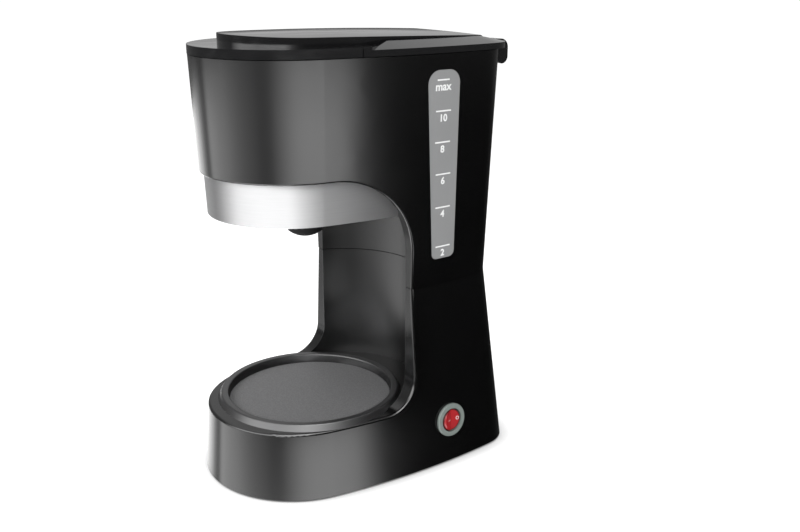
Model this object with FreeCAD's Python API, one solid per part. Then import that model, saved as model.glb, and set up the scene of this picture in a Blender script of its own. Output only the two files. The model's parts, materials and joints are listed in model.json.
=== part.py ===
import FreeCAD, Part
import math
import os
from FreeCAD import Vector

# Drip coffee maker. Millimetres, +Z up, front towards -Y, water window and switch on +X.
# Shapes are drawn about the brew axis, the vertical line through the hotplate and the drip spout,
# and save() moves them so that the origin is the middle of the footprint on the table.

# Outer form
HALF_WIDTH = 68.7
FRONT_RADIUS = 64.3
FRONT_CENTRE_Y = -9.0
SIDE_RADIUS = 450.0
SIDE_CENTRE_Y = 49.0
CORNER_RADIUS = 26.0
BOTTOM_Z = 1.3
SEAM_Z = 127.5
TOP_Z = 275.0
INSET_WAIST = 9.4
INSET_TOP = 4.0
BACK_BASE = 131.4
BACK_WAIST = 116.5
BACK_TOP = 121.3
WALL = 2.4
SEAM_GAP = 0.25
TONGUE_Z = 118.0
TONGUE_WALL = 1.4
TONGUE_RISE = 3.5
LEAN = math.degrees(math.atan(INSET_WAIST / (SEAM_Z - BOTTOM_Z)))
BACK_LEAN = math.degrees(math.atan((BACK_BASE - BACK_WAIST) / (SEAM_Z - BOTTOM_Z)))
ORIGIN_SHIFT_Y = -(BACK_BASE - FRONT_RADIUS + FRONT_CENTRE_Y) / 2
BIG = 300.0

# Carafe bay
RIM_Y = 43.0
LIP_Z = 46.0
LIP_ARC = 22.0
BROW_Z = 203.5
BROW_ARC = 54.0
SCOOP_RADIUS = 55.0
SCOOP_Y = 26.0
CEILING_Z = 177.0
LOW_RIM_ROUND = 1.8
HIGH_RIM_ROUND = 1.2

# Base plate, feet and screws
PLATE_Z = 2.5
PLATE_THICK = 2.0
FOOT_SPOTS = [(40.0, -38.0), (-40.0, -38.0), (46.0, 98.0), (-46.0, 98.0)]
FOOT_TIP_R = 7.0
FOOT_TOP_R = 8.0
SCREW_SPOTS = [(0.0, -66.0), (57.5, -4.0), (-57.5, -4.0), (55.0, 114.0), (-55.0, 114.0)]
SCREW_LENGTH = 14.0
SCREW_R = 1.25
SCREW_HEAD_R = 3.0
BOSS_R = 4.2
BOSS_TOP_Z = 24.0
PILOT_R = 1.3

# Hotplate and heater
RING_RADIUS = 60.0
RING_FOOT = 62.6
RING_GAP = 0.3
RING_TOP_Z = 50.0
RING_INNER = 55.5
RING_NECK = 58.5
RING_LEDGE = 3.5
DISC_TOP_Z = 44.0
DISC_THICK = 1.5
SEAL_THICK = 0.6
STUD_R = 2.5
STUD_LENGTH = 22.0
HEATER_RADIUS = 32.0
HEATER_HALF = 13.0
HEATER_TOP_Z = DISC_TOP_Z - DISC_THICK
HEATER_LOW_Z = HEATER_TOP_Z - 13.0
HEATER_LEG = 24.0
STUB_X = HEATER_RADIUS - 4.0
STUB_Z = 34.0
STUB_LENGTH = 24.0
COLD_PIN_X = HEATER_RADIUS + 5.0
COLD_PIN_Z = STUB_Z + 2.0
COLD_PIN_LENGTH = 10.0
STRAP_Z = HEATER_LOW_Z - 2.1
STRAP_HALF = 46.0
NUT_CORNER = 4.6
TSTAT_Y = -HEATER_RADIUS
FUSE_X = -COLD_PIN_X
FUSE_FRONT_Y = -32.0
FUSE_BACK_Y = -12.0
FUSE_Z = HEATER_LOW_Z - 3.6
LEAD_R = 1.2
LEAD_BEND = 2.6
LEAD_LOW_Z = 9.0

# Brewing parts
BAND_INSET = 2.9
BAND_THICK = 1.4
BAND_TOP_Z = 212.0
BAND_BACK_Y = 33.6
BASKET_TOP_Z = 268.0
BASKET_TOP_R = 48.6
BASKET_FLOOR_R = 28.0
BASKET_FLOOR_Z = 182.0
BASKET_FLOOR = 2.0
BASKET_RIBS = 12
SPOUT_R = 15.0
SPOUT_Z = 168.5
DOME_R = 11.4
DOME_TIP_Z = 157.2
DOME_BALL = 18.0
CUP_FLOOR_Z = 163.5
SEAT_TOP_Z = BASKET_FLOOR_Z + BASKET_FLOOR
STEM_R = 2.5
SPRING_R = 5.2
SPRING_WIRE = 1.0
DECK_Z = 264.0
DECK_THICK = 2.5
ROSE_R = 18.0
ROSE_Z = 266.5
ROSE_HOLES = 9
ARM_R = 3.6
ARM_BORE = 2.3
ARM_Z = 275.2
CUP_R = 6.6
SPOUT_TUBE_R = 3.9
SPOUT_TUBE_Z = 272.0

# Water tank, hoses and one-way valve
TANK_FLOOR_Z = 134.0
TANK_TOP_Z = 263.6
TANK_GAP = 0.6
TANK_WALL = 2.0
TANK_FRONT_Y = 36.0
RISER_X = -28.0
RISER_Y = 102.5
RISER_TOP_Z = 262.0
INLET_X = 28.0
INLET_Y = 95.0
HOSE_R = 5.0
HOSE_BORE = 3.5
HOSE_BEND = 22.0
BARB_R = HOSE_BORE - 0.05
BARB_BORE = HOSE_BORE - 1.2
CLIP_THICK = 1.1
CLIP_WIDTH = 5.0
VALVE_TOP_Z = TANK_FLOOR_Z + TANK_WALL
CHAMBER_LOW_Z = VALVE_TOP_Z - 10.0
CHAMBER_TOP_Z = VALVE_TOP_Z - 3.0
CHAMBER_R = 3.2
BALL_R = 2.4
SEAT_R = 1.8
HOSE_TOP_Z = VALVE_TOP_Z - 12.2

# Water window
WINDOW_LOW_Z = 144.5
WINDOW_HIGH_Z = 265.5
WINDOW_LOW_Y = (58.5, 77.0)
WINDOW_HIGH_Y = (51.0, 76.5)
WINDOW_LOW_ROUND = 4.0
WINDOW_HIGH_ROUND = 8.5

# Lid and hinge
LID_INSET = 3.8
LID_BACK = 127.0
LID_BOTTOM_Z = 275.4
LID_WALL = 2.2
LID_ROOF = 1.8
GRIP_Z = 281.0
SKIRT_Z = 279.3
SLOPE_TOP_Z = 285.6
SLOPE_FRONT_Y = -51.0
SLOPE_TILT = 0.9
CROWN_INSET = 22.0
CROWN_BACK = 120.0
LID_TOP_Z = 287.6
CROWN_PEAK_Y = -15.0
CROWN_LONG_R = 2500.0
CROWN_CROSS_R = 600.0
BEND_Y = 90.0
BEND_R = 120.0
BEND_RISE = 0.15
STEP_DROP = 0.8
HIP_OUT = (64.0, 11.0)
HIP_IN = (42.0, 42.4)
NOTCH_TURN = -21.0
HINGE_Y = 126.6
HINGE_Z = 268.9
BARREL_R = 4.2
EAR_R = 4.8
EAR_IN = 34.0
EAR_OUT = 44.0
EAR_TOP_Z = 280.2
PIN_R = 2.0
PIN_END = EAR_OUT - 2.0

# Switch and cord gland
SWITCH_Y = 71.0
SWITCH_Z = 30.7
SIDE_TURN = math.degrees(math.asin((SWITCH_Y - SIDE_CENTRE_Y) / SIDE_RADIUS))
BEZEL_R = 11.5
SWITCH_BARREL_R = 9.7
SWITCH_WELL_R = 8.2
SWITCH_DEPTH = 15.0
ROCKER_R = 7.8
ROCKER_THROW = 8.0
PIVOT_X = -1.0
PIVOT_R = 1.2
PIVOT_HALF = 9.2
GLAND_Z = 32.0
GLAND_NECK_R = 5.9
CORD_R = 3.5


def inset_at(z):
    """How far the outer skin stands inside the base outline at height z."""
    if z < SEAM_Z:
        return INSET_WAIST * (z - BOTTOM_Z) / (SEAM_Z - BOTTOM_Z)
    return INSET_WAIST + (INSET_TOP - INSET_WAIST) * (z - SEAM_Z) / (TOP_Z - SEAM_Z)


def back_at(z):
    """The back face's y at height z."""
    if z < SEAM_Z:
        return BACK_BASE + (BACK_WAIST - BACK_BASE) * (z - BOTTOM_Z) / (SEAM_Z - BOTTOM_Z)
    return BACK_WAIST + (BACK_TOP - BACK_WAIST) * (z - SEAM_Z) / (TOP_Z - SEAM_Z)


def plan(z, inset, back):
    """Closed outline at height z: round front, long side arcs, rounded rear corners, flat back."""
    side_x = HALF_WIDTH - SIDE_RADIUS
    span = math.hypot(side_x, FRONT_CENTRE_Y - SIDE_CENTRE_Y)
    ux = -side_x / span
    uy = (FRONT_CENTRE_Y - SIDE_CENTRE_Y) / span
    front_r = FRONT_RADIUS - inset
    side_r = SIDE_RADIUS - inset
    corner_r = min(CORNER_RADIUS, CORNER_RADIUS - inset / 3)
    corner_y = back - corner_r
    reach = side_r - corner_r
    corner_x = side_x + math.sqrt(reach**2 - (corner_y - SIDE_CENTRE_Y) ** 2)
    kx = (corner_x - side_x) / reach
    ky = (corner_y - SIDE_CENTRE_Y) / reach
    a = (front_r * ux, FRONT_CENTRE_Y + front_r * uy)
    b = (corner_x + corner_r * kx, corner_y + corner_r * ky)
    start = math.atan2(a[1] - SIDE_CENTRE_Y, a[0] - side_x)
    end = math.atan2(b[1] - SIDE_CENTRE_Y, b[0] - side_x)
    half = (start + end) / 2
    m = (side_x + side_r * math.cos(half), SIDE_CENTRE_Y + side_r * math.sin(half))
    turn = (math.atan2(ky, kx) + math.pi / 2) / 2
    n = (corner_x + corner_r * math.cos(turn), corner_y + corner_r * math.sin(turn))
    c = (corner_x, back)
    tip = (0, FRONT_CENTRE_Y - front_r)

    def at(p, mirror=1):
        return Vector(mirror * p[0], p[1], z)

    edges = [
        Part.Arc(at(a, -1), at(tip), at(a)).toShape(),
        Part.Arc(at(a), at(m), at(b)).toShape(),
        Part.Arc(at(b), at(n), at(c)).toShape(),
        Part.LineSegment(at(c), at(c, -1)).toShape(),
        Part.Arc(at(c, -1), at(n, -1), at(b, -1)).toShape(),
        Part.Arc(at(b, -1), at(m, -1), at(a, -1)).toShape(),
    ]
    return Part.Wire(edges)


def skin(extra, z0, z1):
    """Solid inside the outer skin, drawn in by extra, between two heights on one side of the seam."""
    wires = [plan(z, inset_at(z) + extra, back_at(z) - extra) for z in (z0, z1)]
    return Part.makeLoft(wires, True, True)


def prism(inset, back, z0, z1):
    """Upright solid of one outline."""
    face = Part.Face(plan(z0, inset, back))
    return face.extrude(Vector(0, 0, z1 - z0))


def cyl(r, z0, z1, x=0.0, y=0.0):
    return Part.makeCylinder(r, z1 - z0, Vector(x, y, z0))


def x_cyl(r, x0, x1):
    return Part.makeCylinder(r, x1 - x0, Vector(x0, 0, 0), Vector(1, 0, 0))


def y_cyl(r, y0, y1):
    return Part.makeCylinder(r, y1 - y0, Vector(0, y0, 0), Vector(0, 1, 0))


def hinge_cyl(r, half):
    """Cylinder about the hinge axis that reaches half to each side."""
    return Part.makeCylinder(r, 2 * half, Vector(-half, HINGE_Y, HINGE_Z), Vector(1, 0, 0))


def cone(r0, r1, z0, z1, x=0.0, y=0.0):
    return Part.makeCone(r0, r1, z1 - z0, Vector(x, y, z0))


def box(x0, x1, y0, y1, z0, z1):
    return Part.makeBox(x1 - x0, y1 - y0, z1 - z0, Vector(x0, y0, z0))


def turned(points):
    """Solid of revolution about the brew axis from (radius, height) points."""
    wire = Part.makePolygon([Vector(r, 0, z) for r, z in points + points[:1]])
    return Part.Face(wire).revolve(Vector(0, 0, 0), Vector(0, 0, 1), 360)


def around(radius, count, first=0.0):
    """Points spaced evenly on a circle about the brew axis."""
    turns = [math.radians(first + 360 * i / count) for i in range(count)]
    return [(radius * math.cos(t), radius * math.sin(t)) for t in turns]


def tube(points, radius, bend, bore=0.0):
    """Round tube along straight runs joined by tangent arcs of radius bend."""
    p = [Vector(*q) for q in points]
    edges = []
    last = p[0]
    for i in range(1, len(p) - 1):
        u = (p[i - 1] - p[i]).normalize()
        v = (p[i + 1] - p[i]).normalize()
        half = u.getAngle(v) / 2
        trim = bend / math.tan(half)
        start = p[i] + u * trim
        end = p[i] + v * trim
        inward = (u + v).normalize()
        middle = p[i] + inward * (bend / math.sin(half) - bend)
        edges.append(Part.LineSegment(last, start).toShape())
        edges.append(Part.Arc(start, middle, end).toShape())
        last = end
    edges.append(Part.LineSegment(last, p[-1]).toShape())
    path = Part.Wire(edges)
    way = p[1] - p[0]

    def sweep(r):
        ring = Part.Wire([Part.makeCircle(r, p[0], way)])
        return path.makePipeShell([ring], True, False)

    solid = sweep(radius)
    if bore:
        solid = solid.cut(sweep(bore))
    return solid


def fuse(first, *others):
    return first.multiFuse(list(others)).removeSplitter()


def cut(shape, *tools):
    for tool in tools:
        shape = shape.cut(tool)
    return shape


def mirrored(shape):
    return shape.mirror(Vector(0, 0, 0), Vector(1, 0, 0))


def soften(shape, edges, radius):
    """Round the given edges, or leave them sharp where they cannot take the radius."""
    try:
        rounded = shape.makeFillet(radius, edges)
        if rounded.isValid() and rounded.Solids:
            return rounded
    except Part.OCCError:
        pass
    print("left sharp:", len(edges), "edges")
    return shape


def save(name, shape):
    """Move a piece from the brew axis to the part's own frame and write it."""
    shape = shape.copy()
    shape.translate(Vector(0, ORIGIN_SHIFT_Y, 0))
    solids = shape.Solids
    whole = Part.makeCompound(solids) if len(solids) > 1 else solids[0]
    whole.exportStep("parts/" + name + ".step")
    print(name, len(solids), whole.isValid(), round(whole.Volume / 1000, 2), "cm3")


def bay_opening():
    """What the carafe bay removes, seen from the side: lip, lower arc, rim, upper arc and brow."""
    s = math.sqrt(0.5)
    lip_y = RIM_Y - LIP_ARC
    lip_c = LIP_Z + LIP_ARC
    lip_mid = (lip_y + LIP_ARC * s, lip_c - LIP_ARC * s)
    brow_y = RIM_Y - BROW_ARC
    brow_c = BROW_Z - BROW_ARC
    brow_mid = (brow_y + BROW_ARC * s, brow_c + BROW_ARC * s)

    def at(y, z):
        return Vector(-BIG, y, z)

    edges = [
        Part.LineSegment(at(-BIG, LIP_Z), at(lip_y, LIP_Z)).toShape(),
        Part.Arc(at(lip_y, LIP_Z), at(*lip_mid), at(RIM_Y, lip_c)).toShape(),
        Part.LineSegment(at(RIM_Y, lip_c), at(RIM_Y, brow_c)).toShape(),
        Part.Arc(at(RIM_Y, brow_c), at(*brow_mid), at(brow_y, BROW_Z)).toShape(),
        Part.LineSegment(at(brow_y, BROW_Z), at(-BIG, BROW_Z)).toShape(),
        Part.LineSegment(at(-BIG, BROW_Z), at(-BIG, LIP_Z)).toShape(),
    ]
    return Part.Face(Part.Wire(edges)).extrude(Vector(2 * BIG, 0, 0))


def bay_backing(extra, z0, z1):
    """Solids that keep a room clear of the bay and of its hollow back wall by extra."""
    return [box(-BIG, BIG, -BIG, RIM_Y + extra, z0, z1), cyl(SCOOP_RADIUS + extra, z0, z1, 0, SCOOP_Y)]


def column_cavity(extra, z0, z1):
    """Room inside the column, behind the bay's hollow back wall, drawn in by extra."""
    return cut(skin(extra, z0, z1), *bay_backing(extra, z0 - 1, z1 + 1))


def rim_edges(shape, z0, z1):
    """Outer edges of the bay opening between two heights."""
    near = 0.3
    found = []
    for e in shape.Edges:
        m = e.valueAt((e.FirstParameter + e.LastParameter) / 2)
        if not z0 < m.z < z1 or m.y > RIM_Y + near:
            continue
        inset = inset_at(m.z)
        off_front = math.hypot(m.x, m.y - FRONT_CENTRE_Y) - FRONT_RADIUS + inset
        off_side = math.hypot(abs(m.x) - HALF_WIDTH + SIDE_RADIUS, m.y - SIDE_CENTRE_Y) - SIDE_RADIUS + inset
        if abs(off_front) < near or (abs(off_side) < near and m.y > FRONT_CENTRE_Y):
            found.append(e)
    return found


def window_prism(grow):
    """Outline of the water window, seen from the side, carried through the right wall."""
    low = WINDOW_LOW_Z - grow
    high = WINDOW_HIGH_Z + grow
    pts = [(WINDOW_LOW_Y[0] - grow, low), (WINDOW_LOW_Y[1] + grow, low),
           (WINDOW_HIGH_Y[1] + grow, high), (WINDOW_HIGH_Y[0] - grow, high)]
    reach = 30.0
    wire = Part.makePolygon([Vector(HALF_WIDTH - reach / 2, y, z) for y, z in pts + pts[:1]])
    solid = Part.Face(wire).extrude(Vector(reach, 0, 0))

    def through(lowest, highest):
        long = [e for e in solid.Edges if e.BoundBox.XLength > reach - 1]
        return [e for e in long if lowest < e.BoundBox.ZMin < highest]

    solid = solid.makeFillet(WINDOW_HIGH_ROUND, through(high - 1, high + 1))
    return solid.makeFillet(WINDOW_LOW_ROUND, through(low - 1, low + 1))


def on_side(shape):
    """Place a piece drawn about the X axis on the right wall at the switch."""
    x = HALF_WIDTH - inset_at(SWITCH_Z) - (SWITCH_Y - SIDE_CENTRE_Y) ** 2 / (2 * SIDE_RADIUS)
    placed = shape.copy()
    placed.rotate(Vector(0, 0, 0), Vector(0, 1, 0), -LEAN)
    placed.rotate(Vector(0, 0, 0), Vector(0, 0, 1), SIDE_TURN)
    placed.translate(Vector(x, SWITCH_Y, SWITCH_Z))
    return placed


def on_back(shape):
    """Place a piece drawn about the Y axis on the back wall at the cord gland."""
    placed = shape.copy()
    placed.rotate(Vector(0, 0, 0), Vector(1, 0, 0), BACK_LEAN)
    placed.translate(Vector(0, back_at(GLAND_Z), GLAND_Z))
    return placed


def lower_housing():
    """Base and lower column: skin, deck, screw bosses and a tongue that enters the upper housing."""
    top = SEAM_Z - SEAM_GAP
    under = LIP_Z - WALL
    block = cut(skin(0, BOTTOM_Z, top), bay_opening(), cyl(SCOOP_RADIUS, LIP_Z, BIG, 0, SCOOP_Y))
    block = soften(block, rim_edges(block, LIP_Z - 1, top - 2), LOW_RIM_ROUND)
    block = block.cut(cyl(RING_RADIUS + 0.4, LIP_Z, RING_TOP_Z + 2))
    bosses = [cyl(BOSS_R, PLATE_Z + PLATE_THICK, BOSS_TOP_Z, x, y) for x, y in SCREW_SPOTS]
    room = cut(skin(WALL, BOTTOM_Z - 1, TONGUE_Z), *bay_backing(WALL, under, BIG), *bosses)
    pilots = [cyl(PILOT_R, PLATE_Z, BOSS_TOP_Z - 2, x, y) for x, y in SCREW_SPOTS]
    ring_hole = cyl(RING_NECK + 0.3, LIP_Z - 10, LIP_Z + 10)
    body = cut(block, room, column_cavity(WALL + TONGUE_WALL, TONGUE_Z - 1, top + 1), ring_hole, *pilots)
    tongue = column_cavity(WALL + 0.25, top - 2, top + TONGUE_RISE)
    tongue = tongue.cut(column_cavity(WALL + TONGUE_WALL - 0.3, top - 3, top + TONGUE_RISE + 1))
    switch_hole = on_side(x_cyl(SWITCH_BARREL_R + 0.3, -8, 8))
    gland_hole = on_back(y_cyl(GLAND_NECK_R + 0.1, -8, 8))
    return cut(body.fuse(tongue), switch_hole, gland_hole)


def upper_housing():
    """Upper column and brew head: skin, hollow bay wall, window opening and hinge barrel."""
    low = SEAM_Z + SEAM_GAP
    ceiling = CEILING_Z + WALL
    block = cut(skin(0, low, TOP_Z), bay_opening(), cyl(SCOOP_RADIUS, low - 1, CEILING_Z, 0, SCOOP_Y))
    block = soften(block, rim_edges(block, low + 2, BROW_Z + 0.5), HIGH_RIM_ROUND)
    body = block.cut(cut(skin(WALL, low - 0.2, TOP_Z + 1), *bay_backing(WALL, low - 1, ceiling)))
    half = EAR_IN - 0.5
    web = box(-half, half, BACK_TOP - WALL / 2, HINGE_Y, HINGE_Z - BARREL_R + 0.4, HINGE_Z + BARREL_R / 2)
    hinge = cut(web.fuse(hinge_cyl(BARREL_R, half)), hinge_cyl(PIN_R + 0.06, BIG))
    return cut(fuse(body, hinge), window_prism(0.0))


def level_window():
    """Grey pane that fills the window opening, flush with the skin."""
    low = WINDOW_LOW_Z - 4
    high = WINDOW_HIGH_Z + 4
    shell = cut(skin(0.0, low, high), skin(WALL - 0.4, low - 1, high + 1))
    return shell.common(window_prism(-0.12))


def base_plate():
    """Bottom cover with cooling slots and screw holes."""
    plate = skin(WALL + 0.4, BOTTOM_Z, BOTTOM_Z + 10)
    plate = plate.common(box(-BIG, BIG, -BIG, BIG, PLATE_Z, PLATE_Z + PLATE_THICK))
    slots = [box(-22, 22, y - 1.5, y + 1.5, 0, 10) for y in range(-20, 24, 8)]
    holes = [cyl(SCREW_R + 0.55, 0, 10, x, y) for x, y in SCREW_SPOTS]
    return cut(plate, *slots, *holes)


def feet():
    return Part.makeCompound([cone(FOOT_TIP_R, FOOT_TOP_R, 0, PLATE_Z, x, y) for x, y in FOOT_SPOTS])


def screw(x, y):
    """Pan-head screw driven upwards through the base plate, with a cross recess in its head."""
    head = cyl(SCREW_HEAD_R, PLATE_Z - 1.6, PLATE_Z, x, y)
    arm = box(x - 1.6, x + 1.6, y - 0.4, y + 0.4, PLATE_Z - 2, PLATE_Z - 0.8)
    cross = box(x - 0.4, x + 0.4, y - 1.6, y + 1.6, PLATE_Z - 2, PLATE_Z - 0.8)
    return cut(head, arm, cross).fuse(cyl(SCREW_R, PLATE_Z, PLATE_Z + SCREW_LENGTH, x, y))


def base_screws():
    return Part.makeCompound([screw(x, y) for x, y in SCREW_SPOTS])


def filter_front(extra, z0, z1):
    """Upright front part of the brew head inside the upper shell, drawn in by extra."""
    return cut(skin(extra, z0, z1), box(-BIG, BIG, BAND_BACK_Y, BIG, z0 - 1, z1 + 1))


def silver_band():
    """Trim round the brew head below the brow: a thin wall open to the back."""
    outer = filter_front(BAND_INSET, CEILING_Z, BAND_TOP_Z)
    return outer.cut(skin(BAND_INSET + BAND_THICK, CEILING_Z - 1, BAND_TOP_Z + 1))


def filter_housing():
    """Tray behind the band: floor with the spout's hole, front wall and side walls."""
    gap = BAND_INSET + BAND_THICK + 0.15
    thick = 2.0
    floor_z = CEILING_Z + 0.6
    outer = filter_front(gap, floor_z, BAND_TOP_Z)
    inner = skin(gap + thick, floor_z + thick, BAND_TOP_Z + 1)
    return cut(outer, inner, cyl(SPOUT_R + 1, 0, BIG))


def inner_deck():
    """Deck under the lid with the basket's hole, the tank's mouth and the riser's hole."""
    plate = skin(WALL + 0.4, DECK_Z, DECK_Z + DECK_THICK)
    mouth = box(-19, 48, 64, 106, 0, BIG)
    mouth = mouth.makeFillet(8, [e for e in mouth.Edges if e.BoundBox.ZLength > BIG / 2])
    riser = cyl(HOSE_R + 0.8, 0, BIG, RISER_X, RISER_Y)
    return cut(plate, cyl(BASKET_TOP_R + 0.6, 0, BIG), mouth, riser)


def tank_room(extra):
    """Room that the water tank fills, drawn in by extra."""
    lean = WALL + TANK_GAP + extra
    split = CEILING_Z + WALL + TANK_GAP + 0.4 + extra
    top = TANK_TOP_Z + 1 if extra else TANK_TOP_Z
    low = column_cavity(lean + 1.2, TANK_FLOOR_Z + extra, split)
    high = cut(skin(lean, split, top), cyl(BASKET_TOP_R + 4 + extra, 0, BIG),
               box(-BIG, BIG, -BIG, TANK_FRONT_Y + extra, 0, BIG), box(-40, 40, -BIG, 42 + extra, 0, BIG))
    bay = HOSE_R + 1.5 + extra
    return cut(low.fuse(high), cyl(bay, 0, BIG, RISER_X, RISER_Y),
               box(RISER_X - bay, RISER_X + bay, RISER_Y, BIG, 0, BIG))


def water_tank():
    shell = cut(tank_room(0.0), tank_room(TANK_WALL))
    return cut(shell, cyl(HOSE_R + 0.05, 0, TANK_FLOOR_Z + 10, INLET_X, INLET_Y)).Solids[0]


def hotplate_ring():
    """Ring round the hotplate: flared foot inside the bay, neck through the deck, ledge under the disc."""
    ledge_r = RING_INNER - RING_LEDGE
    ledge_z = HEATER_TOP_Z - SEAL_THICK
    low = DISC_TOP_Z - 4
    ring = turned([(RING_INNER, RING_TOP_Z), (RING_RADIUS, RING_TOP_Z), (RING_FOOT, LIP_Z),
                   (RING_NECK, LIP_Z), (RING_NECK, low), (ledge_r, low), (ledge_r, ledge_z),
                   (RING_INNER, ledge_z)])
    top = [e for e in ring.Edges if e.BoundBox.ZMin > RING_TOP_Z - 0.01]
    bay = bay_opening()
    bay.translate(Vector(0, -RING_GAP, 0))
    scoop = cyl(SCOOP_RADIUS - RING_GAP, LIP_Z, BIG, 0, SCOOP_Y)
    return soften(ring, top, 1.2).common(fuse(bay, scoop, cyl(RING_RADIUS, 0, BIG)))


def hotplate_seal():
    outer = RING_INNER - 0.3
    inner = outer - 3.0
    return cyl(outer, HEATER_TOP_Z - SEAL_THICK, HEATER_TOP_Z).cut(cyl(inner, 0, BIG))


def hotplate():
    disc = cyl(RING_INNER - 0.3, HEATER_TOP_Z, DISC_TOP_Z)
    stud = cyl(STUD_R, HEATER_TOP_Z - STUD_LENGTH, HEATER_TOP_Z)
    rim = [e for e in disc.Edges if e.BoundBox.ZMin > DISC_TOP_Z - 0.01]
    return fuse(soften(disc, rim, 0.5), stud)


def heater():
    """Horseshoe casting under the hotplate: half a flat-topped ring and two legs to the back."""
    low = HEATER_LOW_Z
    top = HEATER_TOP_Z - 0.05
    inner = HEATER_RADIUS - HEATER_HALF
    outer = HEATER_RADIUS + HEATER_HALF
    bevel = 4.0
    pts = [(inner, low + bevel), (inner + bevel, low), (outer - bevel, low), (outer, low + bevel),
           (outer, top), (inner, top)]
    face = Part.Face(Part.makePolygon([Vector(r, 0, z) for r, z in pts + pts[:1]]))
    leg = face.extrude(Vector(0, HEATER_LEG, 0))
    bow = face.revolve(Vector(0, 0, 0), Vector(0, 0, 1), -180)
    return fuse(bow, leg, mirrored(leg))


def water_stubs():
    """The two aluminium stubs that carry water into and out of the horseshoe."""
    stubs = []
    for x in (-STUB_X, STUB_X):
        stub = y_cyl(BARB_R, HEATER_LEG, HEATER_LEG + STUB_LENGTH)
        stub = stub.cut(y_cyl(BARB_BORE, HEATER_LEG - 1, HEATER_LEG + STUB_LENGTH + 1))
        stub.translate(Vector(x, 0, STUB_Z))
        stubs.append(stub)
    return Part.makeCompound(stubs)


def heater_pins():
    """Cold ends of the heating rod, each with its ceramic bush."""
    pins = []
    for x in (-COLD_PIN_X, COLD_PIN_X):
        bush = y_cyl(2.6, HEATER_LEG, HEATER_LEG + 4)
        pin = fuse(bush, y_cyl(1.4, HEATER_LEG, HEATER_LEG + COLD_PIN_LENGTH))
        pin.translate(Vector(x, 0, COLD_PIN_Z))
        pins.append(pin)
    return Part.makeCompound(pins)


def clamp_strap():
    strap = box(-STRAP_HALF, STRAP_HALF, -8, 8, STRAP_Z, STRAP_Z + 2)
    return strap.cut(cyl(STUD_R + 0.2, 0, 60))


def strap_nut():
    """Hexagon nut that draws the strap up on the hotplate's stud."""
    low = STRAP_Z - 4.1
    corners = [Vector(x, y, low) for x, y in around(NUT_CORNER, 6)]
    block = Part.Face(Part.makePolygon(corners + corners[:1])).extrude(Vector(0, 0, 4))
    return block.cut(cyl(STUD_R + 0.02, 0, 60))


def thermostat():
    """Round snap-disc thermostat pressed against the underside of the heater, with two tabs."""
    top = HEATER_LOW_Z - 0.1
    can = cyl(8.0, top - 8.9, top, 0, TSTAT_Y)
    flange = cyl(9.2, top - 1.9, top, 0, TSTAT_Y)
    tabs = [box(x - 0.4, x + 0.4, TSTAT_Y - 3, TSTAT_Y + 3, top - 15.9, top - 8.8) for x in (-4, 4)]
    return fuse(can, flange, *tabs)


def thermal_fuse():
    can = y_cyl(2.4, FUSE_FRONT_Y, FUSE_BACK_Y)
    can.translate(Vector(FUSE_X, 0, FUSE_Z))
    return can


def leads():
    """Inner wires: switch to thermostat, thermostat to fuse, fuse to heater pin."""
    low = LEAD_LOW_Z
    tab_z = HEATER_LOW_Z - 17.35
    tab_y = SWITCH_Y + 3.9
    first = [(43.6, tab_y, 29.0), (37.5, tab_y, 29.0), (34, SWITCH_Y - 6, low + 3),
             (10, 8, low), (4, TSTAT_Y + 8, low), (4, TSTAT_Y, tab_z)]
    turn_y = FUSE_FRONT_Y - 9
    second = [(-4, TSTAT_Y, tab_z), (-14, TSTAT_Y - 8, low), (FUSE_X, turn_y, 14),
              (FUSE_X, turn_y, FUSE_Z), (FUSE_X, FUSE_FRONT_Y, FUSE_Z)]
    pin_y = HEATER_LEG + COLD_PIN_LENGTH
    third = [(FUSE_X, FUSE_BACK_Y, FUSE_Z), (FUSE_X, pin_y + 8, FUSE_Z), (FUSE_X, pin_y + 8, COLD_PIN_Z),
             (FUSE_X, pin_y, COLD_PIN_Z)]
    return Part.makeCompound([tube(route, LEAD_R, LEAD_BEND) for route in (first, second, third)])


def inlet_cyl(r, z0, z1):
    return cyl(r, z0, z1, INLET_X, INLET_Y)


def riser_cyl(r, z0, z1):
    return cyl(r, z0, z1, RISER_X, RISER_Y)


def valve_body():
    """One-way valve in the tank floor: flange, ball chamber with a slotted seat, barb below."""
    neck_z = VALVE_TOP_Z - 12
    flange = inlet_cyl(7.2, VALVE_TOP_Z, VALVE_TOP_Z + 2)
    body = fuse(flange, inlet_cyl(HOSE_R, neck_z, VALVE_TOP_Z), inlet_cyl(BARB_R, neck_z - 14, neck_z))
    slot_z = CHAMBER_LOW_Z - 1.5
    slot = box(INLET_X - 2.9, INLET_X + 2.9, INLET_Y - 0.6, INLET_Y + 0.6, slot_z, slot_z + 2.5)
    return cut(body, inlet_cyl(CHAMBER_R, CHAMBER_LOW_Z, CHAMBER_TOP_Z), slot, inlet_cyl(SEAT_R, 0, BIG))


def valve_ball():
    rest = CHAMBER_LOW_Z + math.sqrt(BALL_R**2 - SEAT_R**2) + 0.05
    return Part.makeSphere(BALL_R, Vector(INLET_X, INLET_Y, rest))


def hose(x, y, top):
    """Silicone hose from a heater stub to the back and up to a given height."""
    path = [(x, HEATER_LEG + 6, STUB_Z), (x, y, STUB_Z), (x, y, top)]
    return tube(path, HOSE_R, HOSE_BEND, HOSE_BORE)


def inlet_hose():
    return hose(INLET_X, INLET_Y, HOSE_TOP_Z)


def riser_hose():
    return hose(RISER_X, RISER_Y, RISER_TOP_Z)


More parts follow.
